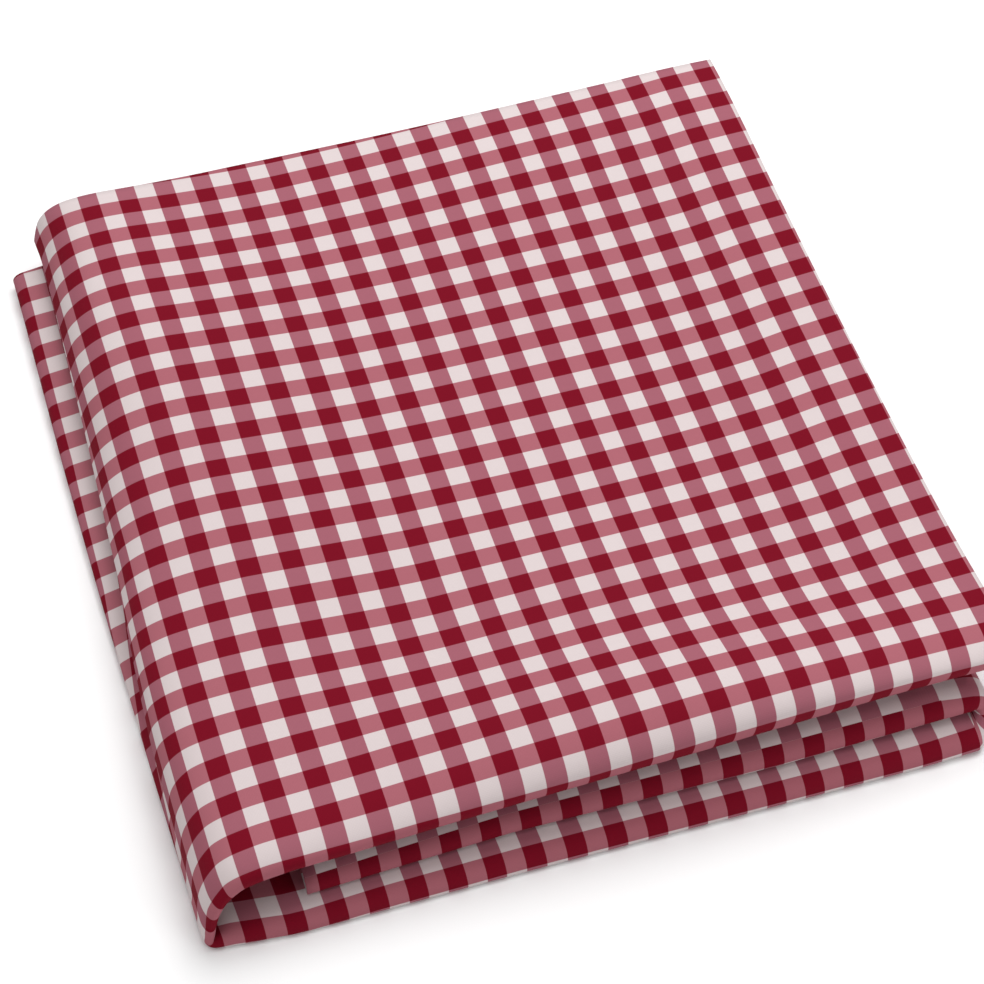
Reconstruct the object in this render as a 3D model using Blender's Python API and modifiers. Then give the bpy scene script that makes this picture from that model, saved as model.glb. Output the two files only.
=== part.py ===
"""A length of gingham cloth, folded into a flat packet.

The cloth is doubled along its front edge, and the doubled band is then rolled
over and over: the top run goes left, down round a tall soft fold, back to the
right as the bottom run, up round the fold on the right, and left again as the
middle run. Lengths in the tables are counted in checks, because the woven check
is the cloth's own ruler, and CHECK gives its real size. X runs along the front
edge, Y towards the back and Z up, and the origin is at the packet's bottom centre.
"""
import bmesh
import bpy
import numpy as np

# Driving dimensions, in metres
CHECK = 0.0127           # one repeat of the check, a red stripe and a white one
SHEET = 0.0010           # thickness of the cloth

# Places in checks
RIGHT_EDGE = 19.84       # cut edge of the top run
LEFT_FACE = 0.32         # left face of the packet, at the middle of the cloth's thickness
TOP_LEVEL = 1.96         # mean height of the top sheet
HALF_SHEET = 0.5 * SHEET / CHECK     # the bottom sheet's middle is this high when it lies flat
FRONT_END = -23.4        # the cloth lies between these two
BACK_END = -1.4
TALL_FOLD_ENDS = -17.0   # in front of this the left fold is one tall bend
TWO_FOLDS_START = 0.5    # and towards this it turns into two bends, the upper one drawn in

# The way round the roll, from the cut edge on the right of the top run. Each bend has
# a length and a turn in degrees, at the front and at the back, and its number of steps.
ROLL = (
    # name          front length, turn   back length, turn   steps
    ("top run",         17.30,      0,     17.70,       0,     16),
    ("slope",            1.20,      9,      0.35,       4,      3),
    ("shoulder",         1.42,     70,      1.42,      80,      8),
    ("side",             0.40,      5,      0.10,       4,      1),
    ("tuck",             0.10,      2,      0.36,      98,      4),
    ("under",            0.06,      0,      0.36,      -6,      1),
    ("pinch",            0.16,     -4,      0.30,    -176,      6),
    ("lower top",        0.07,      0,      1.10,       0,      3),
    ("lower side",       0.44,     98,      0.98,     176,      8),
    ("bottom run",      18.05,      0,     18.05,       0,     13),
    ("right turn",       1.79,    180,      1.79,     180,      8),
    ("middle run",      15.90,      0,     14.60,       0,     11),
)
RUNS_BEFORE_FLOOR = 9    # rows of ROLL before the one that lies on the floor

# The doubled band: how far its two sheets lie apart, where its front fold and its cut
# back edges lie, and how far back the rounding of the front fold reaches on the outer
# and on the inner sheet. A place is a row of ROLL and the share of its length.
BAND = (
    # place  apart   front    back   outer   inner
    (0.00,   0.60,  -22.05,  -1.67,  1.00,   0.40),
    (0.17,   0.64,  -22.15,  -1.75,  1.10,   0.40),
    (0.46,   0.64,  -22.25,  -1.75,  1.10,   0.40),
    (0.80,   0.62,  -22.30,  -1.69,  1.00,   0.40),
    (1.00,   0.52,  -22.42,  -1.73,  0.70,   0.35),
    (2.07,   0.34,  -22.52,  -1.90,  0.45,   0.25),
    (2.50,   0.26,  -22.62,  -2.12,  0.35,   0.22),
    (2.85,   0.20,  -22.74,  -2.50,  0.28,   0.22),
    (4.50,   0.20,  -22.80,  -2.90,  0.26,   0.22),
    (7.00,   0.20,  -22.85,  -3.00,  0.25,   0.22),
    (8.00,   0.20,  -22.87,  -2.60,  0.25,   0.22),
    (9.00,   0.22,  -22.94,  -2.62,  0.22,   0.25),
    (9.03,   0.30,  -23.00,  -2.62,  0.22,   0.30),
    (9.10,   0.48,  -23.12,  -2.65,  0.25,   0.40),
    (9.38,   0.50,  -23.16,  -2.60,  0.25,   0.40),
    (9.92,   0.48,  -23.14,  -2.60,  0.25,   0.40),
    (10.10,  0.43,  -22.95,  -2.70,  0.25,   0.35),
    (10.40,  0.42,  -22.28,  -2.80,  0.30,   0.30),
    (10.70,  0.42,  -22.15,  -2.70,  0.35,   0.25),
    (11.01,  0.45,  -22.34,  -2.60,  0.40,   0.25),
    (11.85,  0.50,  -22.34,  -2.60,  0.40,   0.25),
    (12.00,  0.46,  -22.54,  -2.60,  0.40,   0.25),
)

# Soft ridges and troughs of the top
RELIEF = (
    # name             height      x       y   width x  width y
    ("front ridge",      0.66,   11.5,  -21.6,    5.6,     1.5),
    ("middle trough",   -0.46,   14.5,  -13.6,    5.2,     4.4),
    ("back right rise",  0.42,   18.0,   -1.8,    5.0,     2.2),
    ("back left rise",   0.22,    1.6,   -6.6,    2.2,     3.0),
    ("left dip",        -0.16,    2.6,  -16.6,    2.2,     3.2),
)
STILL_LEVEL = 1.25       # a ridge lifts the top sheet from this level up
LOWER_SHEET_LIFT = 0.55  # share of a ridge that the top run's lower sheet follows
LOWER_SHEET_STILL = 1.15     # that sheet is lifted between these two levels
LOWER_SHEET_LEVEL = 1.30
LIFT_STARTS = -20.5      # and between these two places, behind the front fold's rounding
LIFT_FULL = -16.0

# Across the cloth: the front fold's angles, and the levels of a flat sheet as shares
# of the way from its back edge to the rounding
NOSE_ANGLES = np.radians((0, 30, 60, 90, 120, 150, 180))
LEVELS = np.array((0.0, 0.04, 0.10, 0.20, 0.33, 0.47, 0.61, 0.75, 0.86, 0.94))

# How finely the roll's line is worked out: steps in each row of ROLL, and planes along Y
FINE_STEPS = 60
PLANES = 90


def smooth_step(value, start, end):
    t = np.clip((value - start) / (end - start), 0.0, 1.0)
    return t * t * (3.0 - 2.0 * t)


def station_places():
    """Places along the roll, as a row of ROLL and a share of its length."""
    places = [0.0]
    for row, (*_, steps) in enumerate(ROLL):
        places.extend(row + (k + 1) / steps for k in range(steps))
    return np.array(places)


def roll_line(y, places, longer_top=0.0):
    """The outer sheet's line round the roll in the plane at y: x, z, and the outward normal."""
    _, front_lengths, front_turns, back_lengths, back_turns, _ = map(np.array, zip(*ROLL))
    share = smooth_step(y, TALL_FOLD_ENDS, TWO_FOLDS_START)
    lengths = front_lengths + share * (back_lengths - front_lengths)
    turns = np.radians(front_turns + share * (back_turns - front_turns))
    lengths[0] += longer_top
    rows = np.arange(len(ROLL) + 1)
    ends = np.concatenate(([0.0], np.cumsum(lengths)))
    headings = np.concatenate(([np.pi], np.pi + np.cumsum(turns)))
    fine = np.union1d(np.linspace(0, len(ROLL), FINE_STEPS * len(ROLL) + 1), places)
    heading = np.interp(fine, rows, headings)
    mean = 0.5 * (heading[1:] + heading[:-1])
    step = np.diff(np.interp(fine, rows, ends))
    x = RIGHT_EDGE + np.concatenate(([0.0], np.cumsum(step * np.cos(mean))))
    z = TOP_LEVEL + np.concatenate(([0.0], np.cumsum(step * np.sin(mean))))
    lowest = z[np.searchsorted(fine, RUNS_BEFORE_FLOOR)]
    fallen = np.minimum((TOP_LEVEL - z) / (TOP_LEVEL - lowest), 1.0)
    z = np.where(fine < RUNS_BEFORE_FLOOR, TOP_LEVEL - fallen * (TOP_LEVEL - HALF_SHEET),
                 HALF_SHEET + z - lowest)
    kept = np.searchsorted(fine, places)
    return x[kept], z[kept], np.sin(heading[kept]), -np.cos(heading[kept])


def settled_line(y, places):
    """The same line, its top run just long enough to bring the fold to the left face."""
    x = roll_line(y, places)[0]
    return roll_line(y, places, longer_top=x.min() - LEFT_FACE)


def relief(x, y):
    """How far the ridges and troughs raise or lower the top."""
    height = np.zeros_like(x)
    for _, rise, at_x, at_y, wide_x, wide_y in RELIEF:
        height += rise * np.exp(-((x - at_x) / wide_x) ** 2 - ((y - at_y) / wide_y) ** 2)
    return height


def packet_points():
    """Every point of the cloth: a row for each station, a column for each level."""
    places = station_places()
    at, *columns = np.array(BAND).T
    apart, front, back, outer, inner = (np.interp(places, at, column) for column in columns)

    reach = np.where(NOSE_ANGLES < 0.5 * np.pi, outer[:, None], inner[:, None])
    nose_y = front[:, None] + reach * (1.0 - np.sin(NOSE_ANGLES))
    outer_y = back[:, None] + (front + outer - back)[:, None] * LEVELS
    inner_y = (back[:, None] + (front + inner - back)[:, None] * LEVELS)[:, ::-1]
    y = np.hstack((outer_y, nose_y, inner_y))
    nose_depth = 0.5 * (1.0 - np.cos(NOSE_ANGLES)) * np.ones_like(nose_y)
    depth = np.hstack((np.zeros_like(outer_y), nose_depth, np.ones_like(inner_y)))

    planes = np.linspace(FRONT_END, BACK_END, PLANES)
    lines = np.array([settled_line(level, places) for level in planes])
    x, z, normal_x, normal_z = (
        np.array([np.interp(y[i], planes, lines[:, k, i]) for i in range(len(places))])
        for k in range(4))
    x = x - normal_x * depth * apart[:, None]
    z = z - normal_z * depth * apart[:, None]

    height = relief(x, y)
    z = HALF_SHEET + (z - HALF_SHEET) * (1.0 + np.minimum(height, 0.0) / TOP_LEVEL)
    near_top = smooth_step(z, STILL_LEVEL, TOP_LEVEL)
    near_lower = smooth_step(z, LOWER_SHEET_STILL, LOWER_SHEET_LEVEL)
    follows = LOWER_SHEET_LIFT * near_lower * smooth_step(y, LIFT_STARTS, LIFT_FULL)
    z = z + np.maximum(height, 0.0) * np.maximum(near_top, follows)
    z = np.maximum(z, HALF_SHEET)
    return np.stack((x, y, z), axis=-1)


def gingham():
    """The cloth's overall colour, between its red, pink and white squares."""
    material = bpy.data.materials.new("gingham")
    material.use_nodes = True
    shader = material.node_tree.nodes["Principled BSDF"]
    shader.inputs["Base Color"].default_value = (0.42, 0.11, 0.15, 1.0)
    shader.inputs["Roughness"].default_value = 0.85
    shader.inputs["Metallic"].default_value = 0.0
    return material


def folded_cloth(collection):
    """A flat grid of cloth, each point of it carried to its place in the folded packet."""
    points = packet_points()
    stations, levels = points.shape[:2]
    low = points.min(axis=(0, 1)) - HALF_SHEET
    high = points.max(axis=(0, 1))
    bottom_centre = np.array((0.5 * (low[0] + high[0]), 0.5 * (low[1] + high[1]), low[2]))

    flat = bmesh.new()
    bmesh.ops.create_grid(flat, x_segments=stations - 1, y_segments=levels - 1, size=0.5)
    for vertex in flat.verts:
        station = round((vertex.co.x + 0.5) * (stations - 1))
        level = round((vertex.co.y + 0.5) * (levels - 1))
        vertex.co = (points[station, level] - bottom_centre) * CHECK
    mesh = bpy.data.meshes.new("folded_cloth")
    flat.to_mesh(mesh)
    flat.free()
    mesh.shade_smooth()
    mesh.materials.append(gingham())

    cloth = bpy.data.objects.new("folded_cloth", mesh)
    collection.objects.link(cloth)
    sheet = cloth.modifiers.new("sheet", "SOLIDIFY")
    sheet.thickness = SHEET
    sheet.offset = 0.0
    return cloth


def main():
    for thing in list(bpy.data.objects):
        bpy.data.objects.remove(thing, do_unlink=True)
    collection = bpy.data.collections.new("gingham_fabric")
    bpy.context.scene.collection.children.link(collection)
    folded_cloth(collection)


main()
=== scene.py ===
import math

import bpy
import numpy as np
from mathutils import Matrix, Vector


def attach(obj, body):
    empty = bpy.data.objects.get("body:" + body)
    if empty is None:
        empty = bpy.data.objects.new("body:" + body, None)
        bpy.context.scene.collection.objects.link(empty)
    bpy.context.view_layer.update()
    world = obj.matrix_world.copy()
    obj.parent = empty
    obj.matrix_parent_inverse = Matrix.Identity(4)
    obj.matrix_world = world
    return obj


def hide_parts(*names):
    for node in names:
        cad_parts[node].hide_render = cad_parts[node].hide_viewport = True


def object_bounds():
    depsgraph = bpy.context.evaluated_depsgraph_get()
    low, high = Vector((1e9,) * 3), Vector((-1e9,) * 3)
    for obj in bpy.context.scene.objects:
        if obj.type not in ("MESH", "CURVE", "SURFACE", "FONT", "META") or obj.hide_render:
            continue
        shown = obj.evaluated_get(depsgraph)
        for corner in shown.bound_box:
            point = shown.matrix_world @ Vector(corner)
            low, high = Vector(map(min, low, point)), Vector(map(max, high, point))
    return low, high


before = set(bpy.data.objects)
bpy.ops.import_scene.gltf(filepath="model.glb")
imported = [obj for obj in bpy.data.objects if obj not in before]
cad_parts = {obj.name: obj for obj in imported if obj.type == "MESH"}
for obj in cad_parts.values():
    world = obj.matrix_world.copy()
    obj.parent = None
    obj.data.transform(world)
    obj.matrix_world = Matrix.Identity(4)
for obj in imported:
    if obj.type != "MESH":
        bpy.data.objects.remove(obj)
cad_low, cad_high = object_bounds()

# The gingham cloth in its folds: the same roll as the solid's, with a thinner sheet, more
# of its soft ridges and troughs, and the woven check on it. The cloth is doubled along its
# front edge, and the doubled band is rolled up from the middle run out to the top run.
# Lengths in the tables are in checks, and CHECK gives a check's real size. X runs along
# the front edge, Y to the back.

CHECK = 0.0127           # one repeat of the check, a red stripe and a white one
SHEET = 0.0004           # thickness of the cloth

# Places in checks
RIGHT_EDGE = 19.84       # cut edge of the top run
BACK_EDGE = -1.67        # its cut back edge, at the right
TOP_LEVEL = 1.96         # mean height of the top sheet
HALF_SHEET = 0.5 * SHEET / CHECK
FRONT_END = -23.4        # the cloth lies between these two
BACK_END = -1.4

# The left side: where its face lies, and how far its one tall bend has turned into two
# bends, the upper one drawn in
LEFT_SIDE = (
    # y       face   two bends
    (-23.4,   0.26,     0.00),
    (-21.0,   0.24,     0.04),
    (-18.0,   0.19,     0.20),
    (-13.0,   0.15,     0.68),
    (-9.0,    0.15,     0.86),
    (-4.0,    0.21,     0.96),
    (-2.6,    0.22,     0.97),
    (-1.2,    0.23,     0.86),
)

# The way round the roll, from the cut edge on the right of the top run. Each bend has
# a length and a turn in degrees, at the front and at the back, and its number of steps.
ROLL = (
    # name          front length, turn   back length, turn   steps
    ("top run",         17.30,      0,     17.70,       0,    112),
    ("slope",            1.20,      9,      1.10,      12,     10),
    ("shoulder",         1.42,     70,      1.10,      56,     20),
    ("side",             0.40,      5,      0.60,       8,      6),
    ("tuck",             0.10,      2,      0.36,     110,     10),
    ("under",            0.06,      0,      0.61,      -6,      4),
    ("pinch",            0.16,     -4,      0.30,    -176,     12),
    ("lower top",        0.07,      0,      1.35,       0,     12),
    ("lower side",       0.44,     98,      0.98,     176,     18),
    ("bottom run",      18.18,      0,     18.18,       0,     44),
    ("right turn",       1.79,    180,      1.79,     180,     20),
    ("middle run",      16.03,      2,     14.73,       2,     40),
)
RUNS_BEFORE_FLOOR = 9    # rows of ROLL before the one that lies on the floor

# The doubled band: how far its two sheets lie apart at the front fold and behind it, where
# its front fold and its cut back edges lie, how far back the rounding of the front fold
# reaches on the outer and on the inner sheet, and how deep the fold's tip lies, as a share
# of the way to the inner sheet. A place is a row of ROLL and the share of its length.
BAND = (
    # place  apart  behind   front    back   outer   inner   tip
    (0.00,   0.56,   0.56,  -21.93,  -1.67,  1.10,   0.40,  0.38),
    (0.17,   0.57,   0.57,  -22.02,  -1.75,  1.15,   0.40,  0.34),
    (0.46,   0.58,   0.58,  -22.20,  -1.75,  1.15,   0.40,  0.36),
    (0.80,   0.58,   0.58,  -22.30,  -1.69,  1.00,   0.40,  0.46),
    (1.00,   0.57,   0.48,  -22.42,  -1.73,  0.80,   0.40,  0.50),
    (1.60,   0.55,   0.38,  -22.47,  -1.73,  0.70,   0.40,  0.50),
    (2.07,   0.52,   0.28,  -22.52,  -1.74,  0.65,   0.38,  0.50),
    (2.50,   0.46,   0.24,  -22.62,  -1.76,  0.60,   0.35,  0.50),
    (2.85,   0.38,   0.20,  -22.74,  -1.80,  0.50,   0.30,  0.50),
    (4.50,   0.30,   0.20,  -22.80,  -2.10,  0.36,   0.25,  0.50),
    (7.00,   0.27,   0.20,  -22.85,  -2.50,  0.28,   0.22,  0.50),
    (8.00,   0.26,   0.20,  -22.87,  -2.60,  0.25,   0.22,  0.50),
    (9.00,   0.27,   0.22,  -22.94,  -2.62,  0.22,   0.25,  0.40),
    (9.03,   0.34,   0.30,  -23.00,  -2.62,  0.20,   0.35,  0.30),
    (9.10,   0.42,   0.42,  -23.10,  -2.65,  0.20,   0.50,  0.22),
    (9.38,   0.45,   0.45,  -23.06,  -2.60,  0.20,   0.55,  0.20),
    (9.92,   0.50,   0.50,  -23.08,  -2.60,  0.20,   0.55,  0.20),
    (10.10,  0.43,   0.43,  -23.00,  -2.70,  0.25,   0.35,  0.40),
    (10.40,  0.42,   0.42,  -22.60,  -2.80,  0.30,   0.30,  0.50),
    (10.70,  0.42,   0.42,  -22.36,  -2.70,  0.40,   0.25,  0.60),
    (11.01,  0.50,   0.50,  -22.36,  -2.60,  0.60,   0.25,  0.70),
    (11.30,  0.57,   0.57,  -22.40,  -2.60,  0.60,   0.25,  0.74),
    (11.70,  0.47,   0.47,  -22.32,  -2.60,  0.60,   0.25,  0.74),
    (12.00,  0.40,   0.40,  -22.48,  -2.60,  0.50,   0.25,  0.74),
)
FOLD_REACH = 2.5         # how far behind the front fold the sheets come together

# Soft ridges and troughs of the top
RELIEF = (
    # name             height      x       y   width x  width y
    ("front ridge",      0.88,   11.8,  -21.2,    6.0,     2.35),
    ("ridge's back",     0.14,   11.4,  -17.4,    4.1,     2.1),
    ("middle trough",   -0.39,   12.8,  -15.5,    6.1,     8.0),
    ("right trough",    -0.22,   15.8,   -8.4,    3.0,     8.0),
    ("back right rise",  0.67,   16.9,    1.0,    6.0,     8.0),
    ("back left rise",   0.20,    1.6,   -6.0,    2.2,     4.0),
    ("shoulder dip",    -0.30,    0.4,   -9.5,    1.3,     6.5),
    ("left side dip",   -0.04,    1.8,  -14.5,    2.0,     3.0),
    ("front right rise", 0.30,   17.0,  -22.8,    4.2,     2.4),
    ("back edge sag",   -0.24,   14.6,   -0.9,    6.5,     1.7),
    ("left edge sag",   -0.08,    5.0,   -1.4,    3.0,     1.7),
    ("left swell",       0.13,    5.2,   -7.4,    3.6,     3.0),
    ("left dip",        -0.10,    1.4,  -17.7,    3.5,     3.7),
    ("front left rise",  0.13,    1.2,  -22.2,    2.2,     2.2),
    ("front left dip",  -0.15,    6.0,  -17.0,    3.4,     1.9),
)
STILL_LEVEL = 1.25       # a ridge lifts the top sheet from this level up
LOWER_SHEET_LIFT = 0.55  # share of a ridge that the top run's lower sheet follows
LOWER_SHEET_STILL = 1.15     # that sheet is lifted between these two levels
LOWER_SHEET_LEVEL = 1.30
LIFT_STARTS = -20.5      # and between these two places, behind the front fold's rounding
LIFT_FULL = -16.0

# Steps across the cloth: its outer sheet, the front fold, and its inner sheet
OUTER_STEPS = 88
NOSE_STEPS = 18
INNER_STEPS = 36

# How finely the roll's line is worked out: steps in each row of ROLL, and planes along Y
FINE_STEPS = 60
PLANES = 150

# How the soft cloth lets its checks bow, as shifts in checks. A place along the cloth is
# counted from its cut edge on the right, and a place across it from its cut back edge.
# The rows bow along the cloth, and otherwise near the front fold than over the rest.
ROW_BOW = (
    # along    shift   near the front
    (0.0,     -0.30,   -0.30),
    (1.5,     -0.23,   -0.25),
    (2.5,     -0.14,   -0.20),
    (4.5,     -0.08,   -0.11),
    (6.5,     -0.01,   -0.04),
    (8.5,      0.06,    0.02),
    (10.5,     0.11,    0.05),
    (12.5,     0.13,    0.03),
    (13.5,     0.10,    0.02),
    (14.5,     0.05,    0.01),
    (16.5,    -0.06,    0.04),
    (18.0,    -0.06,    0.08),
    (19.0,    -0.06,    0.15),
    (19.8,    -0.07,    0.34),
    (20.8,    -0.08,    0.55),
    (21.2,    -0.09,    0.72),
    (21.6,    -0.09,    0.80),
    (22.5,    -0.10,    0.84),
    (25.0,    -0.05,    0.92),
    (32.0,     0.93,    0.93),
    (41.0,     0.93,    0.93),
    (42.0,     0.83,    0.83),
)
BOW_TURNS = (17.5, 20.5)     # where, across the cloth, the one gives way to the other

# The columns bow a little from the back to the front, and otherwise near the cut edge
COLUMN_BOW = (
    # across   shift   at the right
    (0.0,     -0.14,   -0.14),
    (5.0,     -0.15,   -0.15),
    (9.0,     -0.19,   -0.19),
    (13.0,    -0.21,   -0.21),
    (17.0,    -0.175,  -0.175),
    (20.3,    -0.16,   -0.15),
    (21.3,    -0.155,  -0.09),
    (22.3,    -0.155,   0.02),
)
RIGHT_TURNS = (1.5, 8.0)     # where, along the cloth, the right's gives way to the other

# They are also eased along the cloth, and otherwise at the front than at the back
COLUMN_EASE = (
    # along    back     front
    (15.0,     0.00,    0.00),
    (17.3,     0.00,   -0.06),
    (18.7,     0.00,   -0.04),
    (20.1,     0.00,    0.18),
    (21.0,     0.00,    0.20),
    (22.0,     0.00,    0.29),
    (25.0,     0.05,    0.50),
    (28.0,     0.50,    0.79),
    (30.4,     0.88,    0.88),
    (34.3,     1.03,    1.03),
    (36.0,     1.13,    1.13),
    (43.0,     1.19,    1.19),
    (47.5,     1.20,    1.20),
    (52.0,     1.38,    1.38),
    (57.5,     1.70,    1.70),
)
EASE_TURNS = (8.0, 18.0)     # where, across the cloth, the back's gives way to the front's

# The row of checks in the shadow above the middle fold is another ply's, half a check off.
# That ply starts at this place along the cloth, is half a check off a check further on,
# and ends at this step round the front fold, between a white row and a red one.
PLY_STARTS = 41.91
PLY_SHIFT = 0.5
PLY_EDGE = OUTER_STEPS + 3
PLY_EDGE_ROW = 21.25


class Signal:
    """A socket of a material. Arithmetic on it adds the nodes that work it out."""

    def __init__(self, tree, socket=None):
        self.tree = tree
        self.socket = socket

    def node(self, kind, settings, inputs, output=0):
        """A node of any kind: its settings first, then the values or links of its sockets."""
        made = self.tree.nodes.new(kind)
        for name, value in settings.items():
            setattr(made, name, value)
        for name, value in inputs.items():
            if isinstance(value, Signal):
                self.tree.links.new(value.socket, made.inputs[name])
            else:
                made.inputs[name].default_value = value
        return Signal(self.tree, made.outputs[output])

    def maths(self, operation, *values, clamp=False):
        settings = {"operation": operation, "use_clamp": clamp}
        return self.node("ShaderNodeMath", settings, dict(enumerate(values)))

    def __add__(self, other):
        return self.maths("ADD", self, other)

    def __sub__(self, other):
        return self.maths("SUBTRACT", self, other)

    def __rsub__(self, other):
        return self.maths("SUBTRACT", other, self)

    def __mul__(self, other):
        return self.maths("MULTIPLY", self, other)

    __radd__ = __add__
    __rmul__ = __mul__

    def clamped(self):
        return self.maths("ADD", self, 0.0, clamp=True)

    def mixed(self, first, second):
        """The first colour where this is 0 and the second where it is 1."""
        colours = {"Factor": self, 6: first, 7: second}
        return self.node("ShaderNodeMix", {"data_type": "RGBA"}, colours, output=2)


def smooth_step(value, start, end):
    t = np.clip((value - start) / (end - start), 0.0, 1.0)
    return t * t * (3.0 - 2.0 * t)


def station_places():
    """Places along the roll, as a row of ROLL and a share of its length."""
    places = [0.0]
    for row, (*_, steps) in enumerate(ROLL):
        places.extend(row + (k + 1) / steps for k in range(steps))
    return np.array(places)


def roll_line(y, places, longer_top=0.0):
    """The outer sheet's line round the roll at y: x, z, the outward normal, and its length."""
    _, front_lengths, front_turns, back_lengths, back_turns, _ = map(np.array, zip(*ROLL))
    at, _, two_bends = np.array(LEFT_SIDE).T
    share = np.interp(y, at, two_bends)
    lengths = front_lengths + share * (back_lengths - front_lengths)
    turns = np.radians(front_turns + share * (back_turns - front_turns))
    lengths[0] += longer_top
    rows = np.arange(len(ROLL) + 1)
    ends = np.concatenate(([0.0], np.cumsum(lengths)))
    headings = np.concatenate(([np.pi], np.pi + np.cumsum(turns)))
    fine = np.union1d(np.linspace(0, len(ROLL), FINE_STEPS * len(ROLL) + 1), places)
    heading = np.interp(fine, rows, headings)
    mean = 0.5 * (heading[1:] + heading[:-1])
    along = np.interp(fine, rows, ends)
    step = np.diff(along)
    x = RIGHT_EDGE + np.concatenate(([0.0], np.cumsum(step * np.cos(mean))))
    z = TOP_LEVEL + np.concatenate(([0.0], np.cumsum(step * np.sin(mean))))
    lowest = z[np.searchsorted(fine, RUNS_BEFORE_FLOOR)]
    fallen = np.minimum((TOP_LEVEL - z) / (TOP_LEVEL - lowest), 1.0)
    z = np.where(fine < RUNS_BEFORE_FLOOR, TOP_LEVEL - fallen * (TOP_LEVEL - HALF_SHEET),
                 HALF_SHEET + z - lowest)
    kept = np.searchsorted(fine, places)
    return x[kept], z[kept], np.sin(heading[kept]), -np.cos(heading[kept]), along[kept]


def settled_line(y, places):
    """The same line, its top run just long enough to bring the fold to the left face."""
    x = roll_line(y, places)[0]
    at, face, _ = np.array(LEFT_SIDE).T
    return roll_line(y, places, longer_top=x.min() - np.interp(y, at, face))


def relief(x, y):
    """How far the ridges and troughs raise or lower the top."""
    height = np.zeros_like(x)
    for _, rise, at_x, at_y, wide_x, wide_y in RELIEF:
        height += rise * np.exp(-((x - at_x) / wide_x) ** 2 - ((y - at_y) / wide_y) ** 2)
    return height


def raised(x, y, z):
    """The heights with the relief on them: ridges lift the top, troughs press all below."""
    height = relief(x, y)
    z = HALF_SHEET + (z - HALF_SHEET) * (1.0 + np.minimum(height, 0.0) / TOP_LEVEL)
    near_top = smooth_step(z, STILL_LEVEL, TOP_LEVEL)
    near_lower = smooth_step(z, LOWER_SHEET_STILL, LOWER_SHEET_LEVEL)
    follows = LOWER_SHEET_LIFT * near_lower * smooth_step(y, LIFT_STARTS, LIFT_FULL)
    z = z + np.maximum(height, 0.0) * np.maximum(near_top, follows)
    return np.maximum(z, HALF_SHEET)


def band_section(places):
    """Across the doubled band, at each station: y, the depth behind the outer sheet, and
    the length of cloth from the back edge, as a row of values each."""
    at, *columns = np.array(BAND).T
    apart, behind, front, back, outer, inner, tip = (
        np.interp(places, at, column)[:, None] for column in columns)
    angles = np.linspace(0.0, np.pi, NOSE_STEPS + 1)
    reach = np.where(angles < 0.5 * np.pi, outer, inner)
    nose_y = front + reach * (1.0 - np.sin(angles))
    nose_depth = apart * (tip - np.where(angles < 0.5 * np.pi, tip, 1.0 - tip) * np.cos(angles))
    outer_y = back + (front + outer - back) * np.linspace(0.0, 1.0, OUTER_STEPS + 1)[:-1]
    inner_y = back + (front + inner - back) * np.linspace(1.0, 0.0, INNER_STEPS + 1)[1:]
    y = np.hstack((outer_y, nose_y, inner_y))
    together = smooth_step(inner_y - front - inner, 0.0, FOLD_REACH)
    inner_depth = apart + (behind - apart) * together
    depth = np.hstack((np.zeros_like(outer_y), nose_depth, inner_depth))
    steps = np.hypot(np.diff(y, axis=1), np.diff(depth, axis=1))
    across = np.hstack((-back, -back + np.cumsum(steps, axis=1)))
    return y, depth, across


def cloth_points(places):
    """Every point of the cloth in checks, and its place in the flat cloth along and across."""
    y, depth, across = band_section(places)
    planes = np.linspace(FRONT_END, BACK_END, PLANES)
    lines = np.array([settled_line(level, places) for level in planes])
    x, z, normal_x, normal_z, along = (
        np.array([np.interp(y[i], planes, lines[:, k, i]) for i in range(len(places))])
        for k in range(5))
    x = x - normal_x * depth
    z = raised(x, y, z - normal_z * depth)
    return np.stack((x, y, z), axis=-1), along, across


def laid_in_frame(points):
    """Points in checks brought to metres, their cut edges on the edges of the CAD box."""
    corner = np.array((RIGHT_EDGE, BACK_EDGE, 0.0))
    edge = np.array((cad_high[0], cad_high[1], cad_low[2]))
    return (points - corner) * CHECK + edge


def blended(where, table, share):
    """A table's two shifts at each place: the first where the share is 0, the second at 1."""
    at, first, second = np.array(table).T
    return np.interp(where, at, first) * (1.0 - share) + np.interp(where, at, second) * share


def woven_places(places, along, across):
    """Each point's place in the woven pattern, counted in columns and rows of checks."""
    at_right = 1.0 - smooth_step(along, *RIGHT_TURNS)
    at_front = smooth_step(across, *EASE_TURNS)
    near_fold = smooth_step(across, *BOW_TURNS)
    columns = along - blended(across, COLUMN_BOW, at_right) + blended(along, COLUMN_EASE, at_front)
    rows = across - blended(along, ROW_BOW, near_fold)

    # The left side takes up more cloth at the back, which the run on the floor makes good,
    # so that the checks stay straight round the right turn
    floor_end = np.searchsorted(places, RUNS_BEFORE_FLOOR + 1)
    more_at_back = along[floor_end] - along[floor_end, OUTER_STEPS]
    made_good = smooth_step(places, RUNS_BEFORE_FLOOR, RUNS_BEFORE_FLOOR + 1)
    columns -= more_at_back * made_good[:, None]

    ply = along[:, PLY_EDGE] > PLY_STARTS
    rows[ply] += PLY_EDGE_ROW - rows[ply, PLY_EDGE:PLY_EDGE + 1]
    return columns, rows


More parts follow.
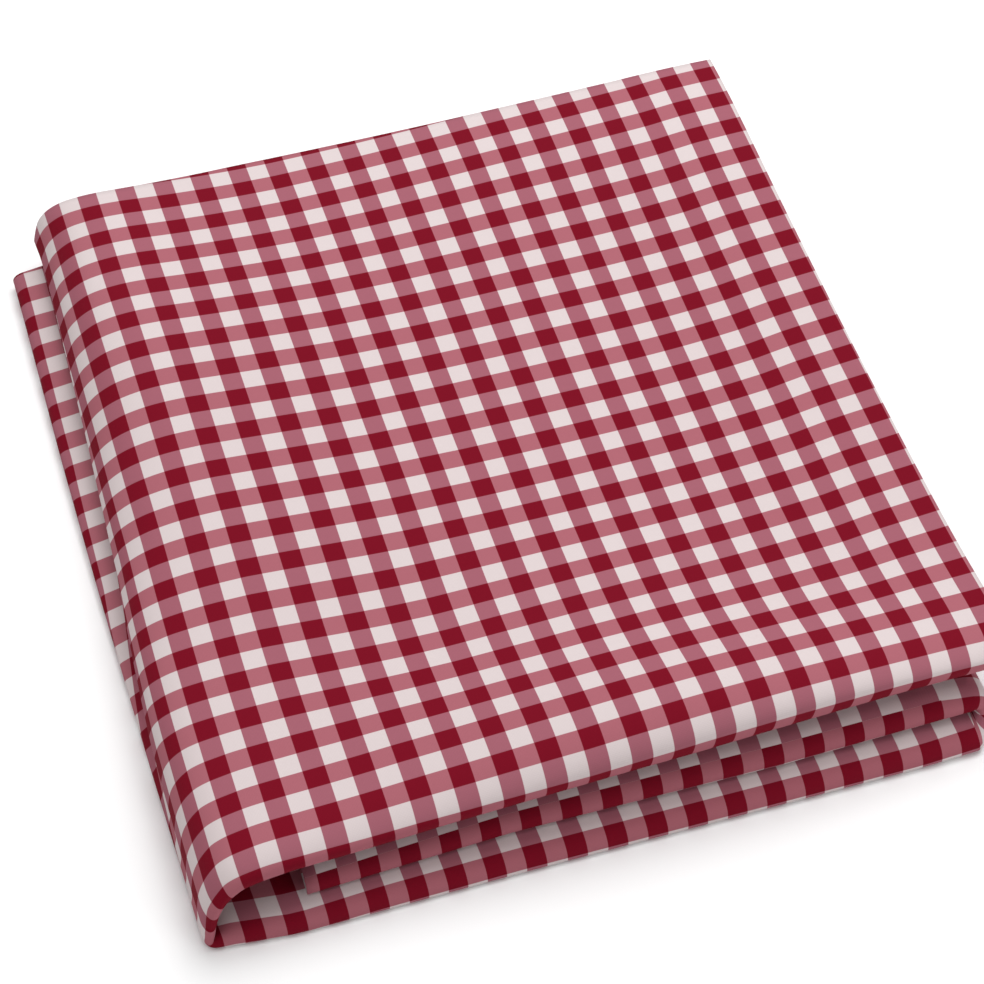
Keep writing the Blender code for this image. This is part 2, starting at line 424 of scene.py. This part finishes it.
def lay_checks(mesh, station, level, places, along, across):
    """The map "checks" on the cloth's mesh: each corner's place in the woven pattern."""
    columns, rows = woven_places(places, along, across)
    corners = np.empty(len(mesh.loops), dtype=int)
    mesh.loops.foreach_get("vertex_index", corners)
    woven = np.stack((columns[station, level], rows[station, level]), axis=-1)[corners]
    on_ply = level[corners].reshape(-1, 4).max(axis=1) <= PLY_EDGE
    ply_shift = PLY_SHIFT * np.clip(along - PLY_STARTS, 0.0, 1.0)
    woven[:, 0] -= np.repeat(on_ply, 4) * ply_shift[station, level][corners]
    checks = mesh.uv_layers.new(name="checks")
    checks.data.foreach_set("uv", woven.ravel())
    mesh.uv_layers.active = checks


def folded_cloth():
    """A flat grid of cloth, each point of it carried to its place in the folded packet."""
    places = station_places()
    points, along, across = cloth_points(places)
    stations, levels = along.shape
    bpy.ops.object.select_all(action="DESELECT")
    bpy.ops.mesh.primitive_grid_add(x_subdivisions=stations - 1, y_subdivisions=levels - 1, size=1.0)
    cloth = bpy.context.active_object
    cloth.name = "gingham_cloth"
    mesh = cloth.data

    flat = np.empty(3 * len(mesh.vertices))
    mesh.vertices.foreach_get("co", flat)
    flat = flat.reshape(-1, 3)
    station = np.rint((flat[:, 0] + 0.5) * (stations - 1)).astype(int)
    level = np.rint((flat[:, 1] + 0.5) * (levels - 1)).astype(int)
    mesh.vertices.foreach_set("co", laid_in_frame(points[station, level]).ravel())
    lay_checks(mesh, station, level, places, along, across)
    mesh.update()

    bpy.ops.object.shade_smooth()
    sheet = cloth.modifiers.new("sheet", "SOLIDIFY")
    sheet.thickness = SHEET
    sheet.offset = 0.0
    bpy.ops.object.modifier_apply(modifier=sheet.name)
    return cloth


# The woven check: the colours of its squares, pink where a red stripe crosses a white one
WHITE_SQUARE = (0.645, 0.558, 0.558, 1.0)
RED_SQUARE = (0.177, 0.0015, 0.0120, 1.0)
PINK_ON_RED_ROW = (0.380, 0.118, 0.147, 1.0)
PINK_ON_RED_COLUMN = (0.336, 0.108, 0.142, 1.0)
STRIPE_EDGE = 0.012      # how soft the edge of a stripe is, in checks

# Its plain weave
YARNS = 30               # in one check each way
YARN_CONTRAST = 4.0      # how sharply one yarn gives way to the one that crosses it
MEAN_RIDGE = 0.64        # the mean height over a yarn, where its top is 1
WOVEN_SHADE = 0.10       # painted shade: how much darker the gaps between yarns are
WOVEN_HEIGHT = 0.00004   # how far a yarn stands out, in metres
BUMP_STRENGTH = 0.5
ROUGHNESS = 0.9
SPECULAR = 0.12


def gingham():
    """Red and white check: white where both stripes are white, pink where one is, else red."""
    material = bpy.data.materials.new("gingham")
    material.use_nodes = True
    tree = material.node_tree
    shader = tree.nodes["Principled BSDF"]
    start = Signal(tree)
    place = start.node("ShaderNodeUVMap", {"uv_map": "checks"}, {})
    column = start.node("ShaderNodeSeparateXYZ", {}, {0: place}, output=0)
    row = start.node("ShaderNodeSeparateXYZ", {}, {0: place}, output=1)

    def stripe(count):
        """1 on the red stripes and 0 on the white ones, whose middles are at whole numbers."""
        from_white = count.maths("PINGPONG", count, 0.5)
        return ((from_white - 0.25) * (1.0 / STRIPE_EDGE) + 0.5).clamped()

    red_column = stripe(column)
    on_white_row = red_column.mixed(WHITE_SQUARE, PINK_ON_RED_COLUMN)
    on_red_row = red_column.mixed(PINK_ON_RED_ROW, RED_SQUARE)
    colour = stripe(row).mixed(on_white_row, on_red_row)

    turn = math.pi * YARNS
    column_wave = column.maths("SINE", column * turn)
    row_wave = row.maths("SINE", row * turn)
    over = (column_wave * row_wave * YARN_CONTRAST + 0.5).clamped()
    ridge = over * column_wave.maths("ABSOLUTE", column_wave)
    ridge = ridge + (1.0 - over) * row_wave.maths("ABSOLUTE", row_wave)
    # Painted shade: the base colour is darkened where the yarns dip between their crossings
    shade = ridge * WOVEN_SHADE + (1.0 - MEAN_RIDGE * WOVEN_SHADE)
    shaded = colour.node("ShaderNodeVectorMath", {"operation": "SCALE"}, {0: colour, "Scale": shade})
    relief_sockets = {"Height": ridge, "Distance": WOVEN_HEIGHT, "Strength": BUMP_STRENGTH}
    bump = ridge.node("ShaderNodeBump", {}, relief_sockets)

    tree.links.new(shaded.socket, shader.inputs["Base Color"])
    tree.links.new(bump.socket, shader.inputs["Normal"])
    shader.inputs["Roughness"].default_value = ROUGHNESS
    shader.inputs["Specular IOR Level"].default_value = SPECULAR
    return material


FLOOR_REACH = 6.0        # metres each way
FLOOR_COLOUR = (0.97, 0.97, 0.97, 1.0)
FLOOR_ROUGHNESS = 0.9
FLOOR_SPECULAR = 0.1


def pale_floor():
    bpy.ops.object.select_all(action="DESELECT")
    bpy.ops.mesh.primitive_plane_add(size=2.0 * FLOOR_REACH, location=(0.0, 0.0, 0.0))
    floor = bpy.context.active_object
    floor.name = "floor"
    material = bpy.data.materials.new("pale floor")
    material.use_nodes = True
    shader = material.node_tree.nodes["Principled BSDF"]
    shader.inputs["Base Color"].default_value = FLOOR_COLOUR
    shader.inputs["Roughness"].default_value = FLOOR_ROUGHNESS
    shader.inputs["Specular IOR Level"].default_value = FLOOR_SPECULAR
    floor.data.materials.append(material)


# The camera: where it stands, which way it looks and how it is turned, and its lens
CAMERA_AT = (-0.1805, -0.4873, 0.6680)
CAMERA_HEADING = 20.53   # degrees from +Y towards +X
CAMERA_DOWN = 52.17
CAMERA_ROLL = 3.44
LENS = 97.93
SENSOR = 36.0


def camera():
    data = bpy.data.cameras.new("camera")
    data.lens = LENS
    data.sensor_width = SENSOR
    data.sensor_fit = "HORIZONTAL"
    eye = bpy.data.objects.new("camera", data)
    heading = Matrix.Rotation(math.radians(-CAMERA_HEADING), 4, "Z")
    down = Matrix.Rotation(math.radians(90.0 - CAMERA_DOWN), 4, "X")
    roll = Matrix.Rotation(math.radians(CAMERA_ROLL), 4, "Z")
    eye.matrix_world = Matrix.Translation(CAMERA_AT) @ heading @ down @ roll
    bpy.context.scene.collection.objects.link(eye)
    bpy.context.scene.camera = eye


# Studio light: a broad lamp high on the right and behind, two weaker ones, high on the
# left and low in front, and an even pale surround
LAMPS = (
    # name        place                  size  watts
    ("key",       (0.45, 0.54, 1.12),    1.0,  14.5),
    ("fill",      (-0.50, 0.05, 1.40),   1.2,   6.5),
    ("front",     (0.70, -0.85, 0.42),   0.6,   2.2),
)
SURROUND = 0.35


def studio_light():
    for name, place, size, watts in LAMPS:
        data = bpy.data.lights.new(name, "AREA")
        data.size = size
        data.energy = watts
        lamp = bpy.data.objects.new(name, data)
        lamp.location = place
        toward_packet = -lamp.location
        lamp.rotation_euler = toward_packet.to_track_quat("-Z", "Y").to_euler()
        bpy.context.scene.collection.objects.link(lamp)
    world = bpy.data.worlds.new("surround")
    world.use_nodes = True
    background = world.node_tree.nodes["Background"]
    background.inputs["Color"].default_value = (1.0, 1.0, 1.0, 1.0)
    background.inputs["Strength"].default_value = SURROUND
    bpy.context.scene.world = world
    bpy.context.scene.view_settings.view_transform = "Standard"


def main():
    camera()
    cloth = folded_cloth()
    cloth.data.materials.append(gingham())
    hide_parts("folded_cloth")
    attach(cloth, "root")
    pale_floor()
    studio_light()


main()
